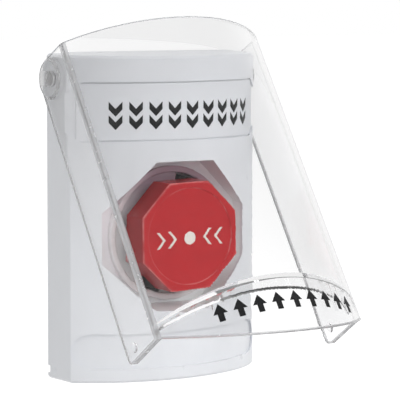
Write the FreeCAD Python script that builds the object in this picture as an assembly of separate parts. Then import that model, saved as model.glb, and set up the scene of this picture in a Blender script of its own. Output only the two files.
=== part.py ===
import FreeCAD, Part
import math
import os

# Covered emergency push button for a single wall box, in millimetres.
# X is right, the front faces -Y and Z is up. The origin is the centre of
# the back, which lies on the wall. The clear cover is built shut and then
# turned to the lifted position it rests in.

V = FreeCAD.Vector

# Housing: flat sides, and a front that is part of an upright cylinder.
HOUSING_HEIGHT = 122.6
HOUSING_WIDTH = 81.0
SIDE_DEPTH = 18.5
FRONT_BULGE = 16.8
END_DRAFT = 1.2
SIDE_WALL = 2.5
END_WALL = 2.6
HOUSING_ROUND = 1.2
HOUSING_CHAMFER = 0.9

# Shallow recesses in the housing front: the label above, a panel below.
RECESS_DEPTH = 1.0
LABEL_DROP, LABEL_HEIGHT = 10.4, 21.9
LABEL_FLAT_HALF = 36.5
LABEL_CORNER_X, LABEL_CORNER_Z = 5.0, 4.3
LABEL_THICK = 0.5
LABEL_CLEARANCE = 0.5
LABEL_WRAP = 1.6
PANEL_RISE, PANEL_HEIGHT = 6.1, 13.15
PANEL_HALF = 40.4

# Octagonal recess around the button, narrowing toward its back.
BUTTON_Z = -6.5
FUNNEL_FRONT_Y, FUNNEL_BACK_Y = -38.0, -22.0
FUNNEL_FRONT_X, FUNNEL_FRONT_Z, FUNNEL_FRONT_CORNER = 34.0, 28.1, 22.2
FUNNEL_BACK_X, FUNNEL_BACK_Z, FUNNEL_BACK_CORNER = 28.9, 26.4, 15.4
WELL_RADIUS = 25.3
WELL_FLOOR_Y = -17.0
WELL_WALL = 2.3
FLOOR_THICK = 2.4
GUARD_RING_THICK = 2.5
GUARD_RING_FRONT_Y = -24.2

# Button head: an octagon, measured across its flats, and a little turned.
BUTTON_FLATS = 40.4
BUTTON_TURN = 1.4
BUTTON_FACE_Y = -37.9
BUTTON_DEPTH = 12.2
BUTTON_CHAMFER = 0.6
BUTTON_WALL = 2.6
BUTTON_FACE_THICK = 3.0
DISH_RADIUS = 17.4
DISH_DEPTH = 0.45
DISH_SLOPE = 0.3
BUTTON_TRAVEL = 4.0
STOP_GAP = 0.3
BOSS_RADIUS = 7.0
BOSS_LENGTH = 7.8

# Stem, and the barrel that guides it through the well floor.
STEM_RADIUS = 4.0
RUNNING_FIT = 0.08
STEM_SOCKET = 6.8
BARREL_RADIUS = 11.0
BARREL_END_Y = -11.0
FLANGE_RADIUS = 16.5
LUG_CLEARANCE = 0.6
LUG_WIDTH = 6.0
LUG_COUNT = 2
LUG_TURN = 22.5
NUT_FLATS = 28.0
NUT_THICK = 3.0

# Return spring between the head and the flange.
SPRING_RADIUS = 9.2
SPRING_WIRE = 1.0
SPRING_TURNS = 3.5
SPRING_STEPS = 16
SPRING_SIDES = 6
SPRING_GAP = 0.05

# Cam on the stem, and the two side switches that it works.
CAM_GAP = 0.2
CAM_LARGE_RADIUS, CAM_SMALL_RADIUS = 7.2, 5.2
CAM_LAND = 1.0
CAM_SLOPE = 0.5
PLUNGER_RADIUS = 1.6
PLUNGER_Y = -6.2
PLUNGER_LENGTH = 11.0
PLUNGER_CLEARANCE = 0.35
PLUNGER_END_ROOM = 0.6
SWITCH_INNER_X, SWITCH_STEP_X, SWITCH_OUTER_X = 15.6, 25.0, 31.0
SWITCH_FRONT_Y, SWITCH_STEP_Y = -13.4, -8.6
SWITCH_HALF_HEIGHT = 11.0
BARRIER_THICK = 1.6
TERMINAL_X = 28.0
TERMINAL_OFFSET_Z = 6.0
CLAMP_WIDTH, CLAMP_HEIGHT, CLAMP_THICK = 5.2, 6.8, 0.8
TERMINAL_SCREW_RADIUS = 1.4
TERMINAL_HOLE_DEPTH = 4.6
TERMINAL_END_ROOM = 0.2
TERMINAL_HEAD_RADIUS, TERMINAL_HEAD_THICK = 2.5, 1.8
SLOT_WIDTH, SLOT_DEPTH = 0.8, 0.8

# Mounting plate for a single wall box, with tabs that hold the housing.
PLATE_THICK = 2.0
PLATE_GAP = 0.4
BOX_SPACING = 83.3
BOX_HOLE_RADIUS = 2.1
CABLE_HALF = 14.0
CABLE_TOP, CABLE_BOTTOM = 14.0, -26.0
TAB_Z = 24.0
TAB_WIDTH = 10.0
TAB_REACH = 10.0
TAB_THICK = 1.4
BARB_HEIGHT = 0.8
BARB_LENGTH = 1.5
WINDOW_ROOM = 0.4
WINDOW_DEPTH = 1.2
NOTCH_RISE, NOTCH_HEIGHT, NOTCH_DEPTH = 2.0, 2.9, 2.6

# Clear cover. It has no top wall, and its lip dips toward the front.
COVER_WALL = 2.0
COVER_CLEARANCE = 0.75
COVER_BACK_Y = -0.77
COVER_SIDE_DEPTH = 22.35
COVER_BULGE = 21.35
COVER_TOP_DROP = 2.96
COVER_TOP_SLOPE = 0.132
COVER_OVERHANG = 1.41
LIP_SLOPE = 0.55
COVER_CORNER = 3.0
COVER_ROUND = 0.7
COVER_LIFT = 34.66

# Crescent rib inside the lip. Shut, it closes the gap to the housing.
RIB_START = 4.2
RIB_SLOPE = 0.28
RIB_THICK = 2.0
RIB_CLEARANCE = 1.55

# Hinge pins, flat underneath, and the blind pockets for them in the cover's
# ears. Each ear has a pad outside, and a groove by which it snaps on.
HINGE_Y = -8.7
HINGE_DROP = 9.3
PIN_RADIUS = 2.9
PIN_FLAT = 2.45
PIN_FIT = 0.1
PIN_CHAMFER = 0.4
PIN_REACH = 1.65
POCKET_DEPTH = 1.75
EAR_PAD = 1.0
GROOVE_DEPTH = 1.0

# Small bumps that keep the cover shut, and the dimples they drop into.
BUMP_Y = -6.5
BUMP_RISE = 3.5
BUMP_BALL = 3.0
BUMP_CLEARANCE = 0.1
DIMPLE_DEPTH = 0.4

# Sizes that follow from the ones above.
EDGE_ROOM = 0.5
HALF_W = HOUSING_WIDTH / 2.0
HALF_H = HOUSING_HEIGHT / 2.0
FAR = 2.0 * HOUSING_HEIGHT
LABEL_TOP = HALF_H - LABEL_DROP
LABEL_BOTTOM = LABEL_TOP - LABEL_HEIGHT
PANEL_BOTTOM = -HALF_H + PANEL_RISE
PANEL_TOP = PANEL_BOTTOM + PANEL_HEIGHT
NOTCH_BOTTOM = -HALF_H + NOTCH_RISE
NOTCH_TOP = NOTCH_BOTTOM + NOTCH_HEIGHT
LUG_RADIUS = WELL_RADIUS - GUARD_RING_THICK - LUG_CLEARANCE
COVER_HALF = HALF_W + COVER_CLEARANCE + COVER_WALL
COVER_TOP_Z = HALF_H - COVER_TOP_DROP
COVER_BOTTOM_Z = -HALF_H - COVER_OVERHANG
HINGE_Z = HALF_H - HINGE_DROP
BUMP_Z = -HALF_H + BUMP_RISE
FRONT_Y = -(SIDE_DEPTH + FRONT_BULGE)
FRONT_R = (HALF_W ** 2 + FRONT_BULGE ** 2) / (2.0 * FRONT_BULGE)
FRONT_CY = FRONT_Y + FRONT_R
COVER_CREASE_Y = COVER_BACK_Y - COVER_SIDE_DEPTH
COVER_FRONT_Y = COVER_CREASE_Y - COVER_BULGE
COVER_R = (COVER_HALF ** 2 + COVER_BULGE ** 2) / (2.0 * COVER_BULGE)
COVER_CY = COVER_FRONT_Y + COVER_R
BUTTON_REAR_Y = BUTTON_FACE_Y + BUTTON_DEPTH
BUTTON_INNER_Y = BUTTON_FACE_Y + BUTTON_FACE_THICK
STEM_FRONT_Y = BUTTON_INNER_Y + BOSS_LENGTH - STEM_SOCKET
FLANGE_FRONT_Y = BUTTON_REAR_Y + BUTTON_TRAVEL + STOP_GAP
CAM_FRONT_Y = BARREL_END_Y + CAM_GAP
CAM_CONE_Y = CAM_FRONT_Y + CAM_LAND
CAM_BACK_Y = CAM_CONE_Y + (CAM_LARGE_RADIUS - CAM_SMALL_RADIUS) / CAM_SLOPE
CLAMP_FRONT_Y = SWITCH_STEP_Y - CLAMP_THICK
HOUSING_INNER_X = HALF_W - SIDE_WALL
COVER_INNER_X = COVER_HALF - COVER_WALL


def box(x0, x1, y0, y1, z0, z1):
    return Part.makeBox(x1 - x0, y1 - y0, z1 - z0, V(x0, y0, z0))


def rod_x(radius, x0, x1, y, z):
    return Part.makeCylinder(radius, x1 - x0, V(x0, y, z), V(1, 0, 0))


def rod_y(radius, y0, y1, x=0.0, z=BUTTON_Z):
    return Part.makeCylinder(radius, y1 - y0, V(x, y0, z), V(0, 1, 0))


def upright(radius, y):
    return Part.makeCylinder(radius, 2 * FAR, V(0, y, -FAR))


def mirror_x(shape):
    return shape.mirror(V(0, 0, 0), V(1, 0, 0))


def plate_xz(points, y0, y1):
    pts = [V(x, y0, z) for x, z in points]
    return Part.Face(Part.makePolygon(pts + pts[:1])).extrude(V(0, y1 - y0, 0))


def plate_yz(points):
    """A wide plate, cut out by an outline seen from the side."""
    pts = [V(-FAR, y, z) for y, z in points]
    return Part.Face(Part.makePolygon(pts + pts[:1])).extrude(V(2 * FAR, 0, 0))


def round_edges(shape, radius, chosen):
    return shape.makeFillet(radius, [e for e in shape.Edges if chosen(e.BoundBox)])


def arched_column(half, back_y, crease_y, front_y, z0, z1):
    """Column with a flat back, flat sides and an arched front."""
    corners = [V(-half, back_y, z0), V(half, back_y, z0),
               V(half, crease_y, z0), V(-half, crease_y, z0)]
    arch = Part.Arc(corners[2], V(0, front_y, z0), corners[3]).toShape()
    sides = Part.makePolygon([corners[3]] + corners[:3]).Edges
    return Part.Face(Part.Wire(sides + [arch])).extrude(V(0, 0, z1 - z0))


def arch_side_y(radius, centre_y, half):
    """Where a front arch of this radius meets the side at X = half."""
    return centre_y - math.sqrt(radius ** 2 - half ** 2)


def octagon(half_x, half_z, corner, y):
    """Octagon with 45 degree corners, centred on the button."""
    a, b = half_x - corner, half_z - corner
    pts = [(half_x, b), (a, half_z), (-a, half_z), (-half_x, b),
           (-half_x, -b), (-a, -half_z), (a, -half_z), (half_x, -b)]
    pts = [V(x, y, z + BUTTON_Z) for x, z in pts]
    return Part.makePolygon(pts + pts[:1])


def regular_octagon(half, y0, y1):
    corner = half * (1.0 - math.tan(math.pi / 8.0))
    return Part.Face(octagon(half, half, corner, y0)).extrude(V(0, y1 - y0, 0))


def funnel(grow):
    """The octagonal recess, grown on all sides to form its own wall."""
    front = octagon(FUNNEL_FRONT_X + grow, FUNNEL_FRONT_Z + grow,
                    FUNNEL_FRONT_CORNER, FUNNEL_FRONT_Y)
    back = octagon(FUNNEL_BACK_X + grow, FUNNEL_BACK_Z + grow,
                   FUNNEL_BACK_CORNER, FUNNEL_BACK_Y + grow)
    return Part.makeLoft([front, back], True, True)


def housing_block():
    block = arched_column(HALF_W, 0, -SIDE_DEPTH, FRONT_Y, -HALF_H, HALF_H)
    reach = 2 * FRONT_Y
    end = HALF_H - 2 * END_DRAFT
    draft = plate_yz([(0, -HALF_H), (0, HALF_H), (reach, end), (reach, -end)])
    block = block.common(draft)
    block = round_edges(block, HOUSING_ROUND, lambda b: b.ZMax - b.ZMin > HALF_H)
    ends = [e for e in block.Edges if on_end(e.BoundBox)]
    return block.makeChamfer(HOUSING_CHAMFER, ends)


def on_end(b):
    """True for the edges around the housing's top and bottom faces."""
    return b.YMin < -EDGE_ROOM and b.ZMax - b.ZMin < 2 * END_DRAFT and b.YMax > -FAR


def housing_inside():
    """The space inside the housing, less the walls around the button."""
    radius = FRONT_R - SIDE_WALL
    crease = arch_side_y(radius, FRONT_CY, HOUSING_INNER_X)
    end = HALF_H - END_WALL
    space = arched_column(HOUSING_INNER_X, FAR, crease, FRONT_CY - radius, -end, end)
    well = rod_y(WELL_RADIUS + WELL_WALL, 2 * FRONT_Y, WELL_FLOOR_Y + FLOOR_THICK)
    return space.cut(funnel(WELL_WALL).fuse(well))


def label_outline(shrink, corner_x):
    top, bottom = LABEL_TOP - shrink, LABEL_BOTTOM + shrink
    near = LABEL_FLAT_HALF - shrink
    far = near + corner_x
    corner = LABEL_CORNER_Z * corner_x / LABEL_CORNER_X
    pts = [(near, top), (far, top - corner), (far, bottom + corner), (near, bottom)]
    pts += [(-x, z) for x, z in reversed(pts)]
    return plate_xz(pts, 2 * FRONT_Y, -SIDE_DEPTH + 2 * LABEL_CORNER_X)


def panel_outline():
    radius = (PANEL_TOP - PANEL_BOTTOM) / 2.0
    mid = (PANEL_TOP + PANEL_BOTTOM) / 2.0
    x = PANEL_HALF - radius
    y0, y1 = 2 * FRONT_Y, -SIDE_DEPTH / 2
    slot = box(-x, x, y0, y1, PANEL_BOTTOM, PANEL_TOP)
    ends = [rod_y(radius, y0, y1, side, mid) for side in (-x, x)]
    return slot.multiFuse(ends).removeSplitter()


def side_features():
    """Pin holes, dimples, tab windows and release notches of one side."""
    reach = 2 * SIDE_WALL
    pin_hole = rod_x(PIN_RADIUS, HALF_W - reach, HALF_W + reach, HINGE_Y, HINGE_Z)
    pin_hole = pin_hole.cut(below_pin())
    ball_x = HALF_W - DIMPLE_DEPTH + BUMP_BALL
    dimple = Part.makeSphere(BUMP_BALL, V(ball_x, BUMP_Y, BUMP_Z))
    notch = box(HALF_W - reach, FAR, -NOTCH_DEPTH, FAR, NOTCH_BOTTOM, NOTCH_TOP)
    cuts = [pin_hole, dimple, notch]
    half = TAB_WIDTH / 2 + WINDOW_ROOM
    for z in (-TAB_Z, TAB_Z):
        cuts.append(box(HOUSING_INNER_X - reach, HOUSING_INNER_X + WINDOW_DEPTH,
                        -TAB_REACH - WINDOW_ROOM, -TAB_REACH + BARB_LENGTH + WINDOW_ROOM,
                        z - half, z + half))
    return cuts


def housing_shell():
    core = upright(FRONT_R - RECESS_DEPTH, FRONT_CY)
    shallow = label_outline(0, LABEL_CORNER_X).fuse(panel_outline()).cut(core)
    right = side_features()
    cuts = [housing_inside(), funnel(0), shallow,
            rod_y(WELL_RADIUS, 2 * FRONT_Y, WELL_FLOOR_Y),
            rod_y(BARREL_RADIUS, 2 * FRONT_Y, 0)]
    return housing_block().cut(cuts + right + [mirror_x(s) for s in right])


def label_strip():
    outer = upright(FRONT_R - RECESS_DEPTH + LABEL_THICK, FRONT_CY)
    inner = upright(FRONT_R - RECESS_DEPTH, FRONT_CY)
    return outer.cut(inner).common(label_outline(LABEL_CLEARANCE, LABEL_WRAP))


def mounting_plate():
    half_x = HOUSING_INNER_X - PLATE_GAP
    half_z = HALF_H - END_WALL - PLATE_GAP
    plate = box(-half_x, half_x, -PLATE_THICK, 0, -half_z, half_z)
    cuts = [box(-CABLE_HALF, CABLE_HALF, -FAR, FAR, CABLE_BOTTOM, CABLE_TOP)]
    for z in (-BOX_SPACING / 2, BOX_SPACING / 2):
        cuts.append(rod_y(BOX_HOLE_RADIUS, -FAR, FAR, 0, z))
    tabs = [spring_tab(half_x, z) for z in (-TAB_Z, TAB_Z)]
    tabs += [mirror_x(tab) for tab in tabs]
    return plate.cut(cuts).multiFuse(tabs).removeSplitter()


def spring_tab(outer_x, z):
    """Folded tab. Its barb clicks into a window in the housing's side."""
    catch_y = -TAB_REACH + BARB_LENGTH
    pts = [(outer_x, -PLATE_THICK), (outer_x, catch_y),
           (HOUSING_INNER_X + BARB_HEIGHT, catch_y), (outer_x, -TAB_REACH),
           (outer_x - TAB_THICK, -TAB_REACH), (outer_x - TAB_THICK, -PLATE_THICK)]
    pts = [V(x, y, z - TAB_WIDTH / 2) for x, y in pts]
    return Part.Face(Part.makePolygon(pts + pts[:1])).extrude(V(0, 0, TAB_WIDTH))


def guard_ring():
    ring = rod_y(WELL_RADIUS, GUARD_RING_FRONT_Y, WELL_FLOOR_Y)
    return ring.cut(rod_y(WELL_RADIUS - GUARD_RING_THICK, 2 * FRONT_Y, 0))


def operator_barrel():
    """Round flange with two opposite lugs, and the barrel through the floor."""
    flange = rod_y(FLANGE_RADIUS, FLANGE_FRONT_Y, WELL_FLOOR_Y)
    lug = box(-LUG_WIDTH / 2, LUG_WIDTH / 2, FLANGE_FRONT_Y, WELL_FLOOR_Y,
              BUTTON_Z, BUTTON_Z + LUG_RADIUS)
    lug = lug.common(rod_y(LUG_RADIUS, 2 * FRONT_Y, 0))
    pieces = [rod_y(BARREL_RADIUS, WELL_FLOOR_Y, BARREL_END_Y)]
    for k in range(LUG_COUNT):
        turned = lug.copy()
        turned.rotate(V(0, 0, BUTTON_Z), V(0, 1, 0), LUG_TURN + 360 * k / LUG_COUNT)
        pieces.append(turned)
    bore = rod_y(STEM_RADIUS + RUNNING_FIT, 2 * FRONT_Y, 0)
    return flange.multiFuse(pieces).cut(bore).removeSplitter()


def locking_nut():
    y0 = WELL_FLOOR_Y + FLOOR_THICK
    corner = NUT_FLATS / math.sqrt(3.0)
    angles = [math.radians(30 + 60 * k) for k in range(6)]
    pts = [(corner * math.cos(a), BUTTON_Z + corner * math.sin(a)) for a in angles]
    return plate_xz(pts, y0, y0 + NUT_THICK).cut(rod_y(BARREL_RADIUS, 2 * FRONT_Y, 0))


def button_head():
    half = BUTTON_FLATS / 2
    head = regular_octagon(half, BUTTON_FACE_Y, BUTTON_REAR_Y)
    near_face = BUTTON_FACE_Y + BUTTON_CHAMFER
    rim = [e for e in head.Edges if e.BoundBox.YMax < near_face]
    head = head.makeChamfer(BUTTON_CHAMFER, rim)
    head = head.cut(regular_octagon(half - BUTTON_WALL, BUTTON_INNER_Y, 0))
    dish = Part.makeCone(DISH_RADIUS + DISH_SLOPE, DISH_RADIUS, DISH_DEPTH,
                         V(0, BUTTON_FACE_Y, BUTTON_Z), V(0, 1, 0))
    boss = rod_y(BOSS_RADIUS, BUTTON_INNER_Y, BUTTON_INNER_Y + BOSS_LENGTH)
    socket = rod_y(STEM_RADIUS, STEM_FRONT_Y, 0)
    head = head.cut(dish).fuse(boss).cut(socket).removeSplitter()
    head.rotate(V(0, 0, BUTTON_Z), V(0, 1, 0), -BUTTON_TURN)
    return head


def cam_stem():
    """Stem with the cam on its inner end, put in from the back."""
    land = rod_y(CAM_LARGE_RADIUS, CAM_FRONT_Y, CAM_CONE_Y)
    slope = Part.makeCone(CAM_LARGE_RADIUS, CAM_SMALL_RADIUS, CAM_BACK_Y - CAM_CONE_Y,
                          V(0, CAM_CONE_Y, BUTTON_Z), V(0, 1, 0))
    body = rod_y(STEM_RADIUS, STEM_FRONT_Y, CAM_CONE_Y)
    return body.multiFuse([land, slope]).removeSplitter()


def return_spring():
    """Coil that follows a helix in short straight steps, with mitred corners."""
    half = SPRING_WIRE / 2
    start = BUTTON_INNER_Y + half + SPRING_GAP
    height = FLANGE_FRONT_Y - half - SPRING_GAP - start
    steps = round(SPRING_TURNS * SPRING_STEPS)
    path = []
    for k in range(steps + 1):
        angle = 2 * math.pi * k / SPRING_STEPS
        path.append(V(SPRING_RADIUS * math.cos(angle), start + height * k / steps,
                      BUTTON_Z + SPRING_RADIUS * math.sin(angle)))
    section = Part.makeCircle(half, path[0], path[1] - path[0]).discretize(SPRING_SIDES + 1)
    section = Part.makePolygon(section)
    return Part.makePolygon(path).makePipeShell([section], True, False, 1).removeSplitter()


def plunger_tip_x():
    """Flat end of the plunger, a clearance away from the cam's slope."""
    front = PLUNGER_Y - PLUNGER_RADIUS
    return CAM_SMALL_RADIUS + CAM_SLOPE * (CAM_BACK_Y - front) + PLUNGER_CLEARANCE


def plunger():
    tip = plunger_tip_x()
    return rod_x(PLUNGER_RADIUS, tip, tip + PLUNGER_LENGTH, PLUNGER_Y, BUTTON_Z)


def switch_block():
    """Sealed switch, with a step that holds its two terminals."""
    low, high = BUTTON_Z - SWITCH_HALF_HEIGHT, BUTTON_Z + SWITCH_HALF_HEIGHT
    half = BARRIER_THICK / 2
    body = box(SWITCH_INNER_X, SWITCH_STEP_X, SWITCH_FRONT_Y, -PLATE_THICK, low, high)
    step = box(SWITCH_STEP_X, SWITCH_OUTER_X, SWITCH_STEP_Y, -PLATE_THICK, low, high)
    barrier = box(SWITCH_STEP_X, SWITCH_OUTER_X, SWITCH_FRONT_Y, SWITCH_STEP_Y,
                  BUTTON_Z - half, BUTTON_Z + half)
    stroke = CAM_SLOPE * BUTTON_TRAVEL
    bore_end = plunger_tip_x() + PLUNGER_LENGTH + stroke + PLUNGER_END_ROOM
    cuts = [rod_x(PLUNGER_RADIUS + RUNNING_FIT, 0, bore_end, PLUNGER_Y, BUTTON_Z)]
    for z in (BUTTON_Z - TERMINAL_OFFSET_Z, BUTTON_Z + TERMINAL_OFFSET_Z):
        cuts.append(rod_y(TERMINAL_SCREW_RADIUS, SWITCH_STEP_Y,
                          SWITCH_STEP_Y + TERMINAL_HOLE_DEPTH, TERMINAL_X, z))
    return body.multiFuse([step, barrier]).cut(cuts).removeSplitter()


def terminal_clamp(z):
    x0, z0 = TERMINAL_X - CLAMP_WIDTH / 2, z - CLAMP_HEIGHT / 2
    plate = box(x0, x0 + CLAMP_WIDTH, CLAMP_FRONT_Y, SWITCH_STEP_Y, z0, z0 + CLAMP_HEIGHT)
    return plate.cut(rod_y(TERMINAL_SCREW_RADIUS, 2 * FRONT_Y, 0, TERMINAL_X, z))


def terminal_screw(z):
    top = CLAMP_FRONT_Y - TERMINAL_HEAD_THICK
    head = rod_y(TERMINAL_HEAD_RADIUS, top, CLAMP_FRONT_Y, TERMINAL_X, z)
    slot = box(TERMINAL_X - TERMINAL_HEAD_RADIUS, TERMINAL_X + TERMINAL_HEAD_RADIUS,
               top, top + SLOT_DEPTH, z - SLOT_WIDTH / 2, z + SLOT_WIDTH / 2)
    end = SWITCH_STEP_Y + TERMINAL_HOLE_DEPTH - TERMINAL_END_ROOM
    shank = rod_y(TERMINAL_SCREW_RADIUS, CLAMP_FRONT_Y, end, TERMINAL_X, z)
    return head.cut(slot).fuse(shank)


def hinge_pin():
    end = COVER_INNER_X + PIN_REACH
    pin = rod_x(PIN_RADIUS, HOUSING_INNER_X, end - PIN_CHAMFER, HINGE_Y, HINGE_Z)
    tip = Part.makeCone(PIN_RADIUS, PIN_RADIUS - PIN_CHAMFER, PIN_CHAMFER,
                        V(end - PIN_CHAMFER, HINGE_Y, HINGE_Z), V(1, 0, 0))
    return pin.fuse(tip).cut(below_pin()).removeSplitter()


def below_pin():
    """Everything under the flat of the right hinge pin."""
    return box(0, FAR, -FAR, FAR, -FAR, HINGE_Z - PIN_FLAT)


def cover_outline():
    """The shut cover seen from the side, as a wide solid to keep."""
    ear = COVER_BACK_Y - HINGE_Y
    diagonal = ear / math.sqrt(2.0)
    corner = COVER_CORNER * (1.0 - 1.0 / math.sqrt(2.0))
    run = 2 * COVER_BULGE
    front_y = COVER_CREASE_Y - run
    top_front = V(-FAR, front_y, COVER_TOP_Z - COVER_TOP_SLOPE * run)
    low_front = V(-FAR, front_y, COVER_BOTTOM_Z - LIP_SLOPE * run)
    crease = V(-FAR, COVER_CREASE_Y, COVER_TOP_Z)
    ear_top = V(-FAR, HINGE_Y, HINGE_Z + ear)
    ear_mid = V(-FAR, HINGE_Y + diagonal, HINGE_Z + diagonal)
    ear_back = V(-FAR, COVER_BACK_Y, HINGE_Z)
    back_low = V(-FAR, COVER_BACK_Y, COVER_BOTTOM_Z + COVER_CORNER)
    corner_mid = V(-FAR, COVER_BACK_Y - corner, COVER_BOTTOM_Z + corner)
    low_back = V(-FAR, COVER_BACK_Y - COVER_CORNER, COVER_BOTTOM_Z)
    low_crease = V(-FAR, COVER_CREASE_Y, COVER_BOTTOM_Z)
    edges = Part.makePolygon([top_front, crease, ear_top]).Edges
    edges.append(Part.Arc(ear_top, ear_mid, ear_back).toShape())
    edges.append(Part.makeLine(ear_back, back_low))
    edges.append(Part.Arc(back_low, corner_mid, low_back).toShape())
    edges += Part.makePolygon([low_back, low_crease, low_front, top_front]).Edges
    return Part.Face(Part.Wire(edges)).extrude(V(2 * FAR, 0, 0))


def cover_shell():
    outer = arched_column(COVER_HALF, COVER_BACK_Y, COVER_CREASE_Y, COVER_FRONT_Y,
                          -FAR, FAR)
    crease = COVER_CREASE_Y - COVER_ROUND, COVER_CREASE_Y + COVER_ROUND
    outer = round_edges(outer, COVER_ROUND,
                        lambda b: crease[0] < b.YMin and b.YMax < crease[1])
    radius = COVER_R - COVER_WALL
    inner = arched_column(COVER_INNER_X, FAR, arch_side_y(radius, COVER_CY, COVER_INNER_X),
                          COVER_CY - radius, -2 * FAR, 2 * FAR)
    return outer.cut(inner).common(cover_outline())


def cover_rib():
    half = COVER_HALF - COVER_WALL / 2
    radius = COVER_R - COVER_WALL / 2
    rib = arched_column(half, FAR, arch_side_y(radius, COVER_CY, half),
                        COVER_CY - radius, -FAR, FAR)
    rib = rib.cut(upright(FRONT_R + RIB_CLEARANCE, FRONT_CY))
    rib = rib.cut(box(-FAR, FAR, -SIDE_DEPTH, 2 * FAR, -FAR, FAR))
    z0 = COVER_BOTTOM_Z + RIB_START
    y0, y1 = 0.0, COVER_FRONT_Y
    za = z0 + RIB_SLOPE * (COVER_CREASE_Y - y0)
    zb = z0 + RIB_SLOPE * (COVER_CREASE_Y - y1)
    band = plate_yz([(y0, za), (y1, zb), (y1, zb + RIB_THICK), (y0, za + RIB_THICK)])
    return rib.common(band)


def ear_pad():
    """Round pad outside the ear, with a sloping rim, around the pin."""
    radius = COVER_BACK_Y - HINGE_Y
    return Part.makeCone(radius, radius - EAR_PAD, EAR_PAD,
                         V(COVER_HALF, HINGE_Y, HINGE_Z), V(1, 0, 0))


def pin_pocket():
    """Blind seat for the pin inside the ear, and the groove that leads to it."""
    seat_end = COVER_INNER_X + POCKET_DEPTH
    seat = rod_x(PIN_RADIUS + PIN_FIT, HALF_W, seat_end, HINGE_Y, HINGE_Z)
    groove = box(HALF_W, COVER_INNER_X + GROOVE_DEPTH, HINGE_Y, FAR,
                 HINGE_Z - PIN_RADIUS, HINGE_Z + PIN_RADIUS)
    groove.rotate(V(0, HINGE_Y, HINGE_Z), V(1, 0, 0), COVER_LIFT)
    return seat.fuse(groove)


def cover_bump():
    tip = HALF_W + BUMP_CLEARANCE
    ball = Part.makeSphere(BUMP_BALL, V(tip + BUMP_BALL, BUMP_Y, BUMP_Z))
    middle = COVER_INNER_X + COVER_WALL / 2
    return ball.common(box(tip - BUMP_BALL, middle, -FAR, FAR, -FAR, FAR))


def clear_cover():
    added, cuts = [cover_bump(), ear_pad()], [pin_pocket()]
    added += [mirror_x(piece) for piece in added]
    cuts += [mirror_x(piece) for piece in cuts]
    cover = cover_shell().multiFuse([cover_rib()] + added).cut(cuts).removeSplitter()
    cover.rotate(V(0, HINGE_Y, HINGE_Z), V(1, 0, 0), -COVER_LIFT)
    return cover


def single_nodes():
    return {
        "housing_shell": housing_shell(),
        "label_strip": label_strip(),
        "mounting_plate": mounting_plate(),
        "guard_ring": guard_ring(),
        "operator_barrel": operator_barrel(),
        "locking_nut": locking_nut(),
        "button_head": button_head(),
        "cam_stem": cam_stem(),
        "return_spring": return_spring(),
        "clear_cover": clear_cover(),
    }


def paired_nodes():
    """Pieces that come in a right and a left copy."""
    pair = {"hinge_pin": hinge_pin(), "switch_block": switch_block(),
            "plunger": plunger()}
    places = {"lower": BUTTON_Z - TERMINAL_OFFSET_Z, "upper": BUTTON_Z + TERMINAL_OFFSET_Z}
    for place, z in places.items():
        pair["terminal_clamp_" + place] = terminal_clamp(z)
        pair["terminal_screw_" + place] = terminal_screw(z)
    both = {}
    for name, shape in pair.items():
        both[name + "_right"] = shape
        both[name + "_left"] = mirror_x(shape)
    return both


def write_nodes():
    os.makedirs("parts", exist_ok=True)
    for name, shape in {**single_nodes(), **paired_nodes()}.items():
        if len(shape.Solids) == 1:
            shape = shape.Solids[0]
        print(name, len(shape.Solids), shape.isValid(), round(shape.Volume, 1))
        shape.exportStep("parts/" + name + ".step")


write_nodes()
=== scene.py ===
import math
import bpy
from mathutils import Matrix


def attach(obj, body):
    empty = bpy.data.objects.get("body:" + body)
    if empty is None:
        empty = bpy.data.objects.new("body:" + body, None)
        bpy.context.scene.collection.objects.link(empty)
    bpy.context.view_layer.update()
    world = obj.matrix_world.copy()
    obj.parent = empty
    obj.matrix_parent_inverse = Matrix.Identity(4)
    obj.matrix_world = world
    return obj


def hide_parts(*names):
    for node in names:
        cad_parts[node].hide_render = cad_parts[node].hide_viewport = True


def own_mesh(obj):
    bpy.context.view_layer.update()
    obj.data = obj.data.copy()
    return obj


bl_info = {
    "name": "Covered Push Button Station",
    "version": (1, 0, 0),
    "blender": (4, 5, 0),
    "location": "View3D > Sidebar > Push Button",
    "description": "Builds the visible pieces and finishes of a covered emergency push button",
    "category": "Object",
}

import bmesh
import bpy
import numpy as np
from bpy.props import FloatProperty, FloatVectorProperty, IntProperty, PointerProperty
from mathutils import Matrix, Vector

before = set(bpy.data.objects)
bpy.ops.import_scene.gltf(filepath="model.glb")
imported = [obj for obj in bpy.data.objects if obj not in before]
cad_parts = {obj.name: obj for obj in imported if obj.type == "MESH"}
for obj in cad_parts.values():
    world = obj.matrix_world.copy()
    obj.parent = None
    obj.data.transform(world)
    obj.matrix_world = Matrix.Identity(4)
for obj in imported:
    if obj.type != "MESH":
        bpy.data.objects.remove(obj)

# The station in metres: X is right, the front faces -Y and Z is up. The clear cover is worked out
# shut and then turned to its lifted rest.


# Sizes, colours and studio values that a user may change


def length(name, description, default):
    return FloatProperty(
        name=name, description=description, default=default, unit="LENGTH", precision=5)


def share(name, description, default):
    return FloatProperty(name=name, description=description, default=default, min=0.0, max=1.0)


def ratio(name, description, default):
    return FloatProperty(name=name, description=description, default=default, precision=4)


def turn(name, description, degrees):
    return FloatProperty(
        name=name, description=description, default=math.radians(degrees), subtype="ANGLE")


def power(name, description, default):
    return FloatProperty(name=name, description=description, default=default, unit="POWER")


def tint(name, description, default):
    return FloatVectorProperty(
        name=name, description=description, default=default, subtype="COLOR", min=0.0, max=1.0)


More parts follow.
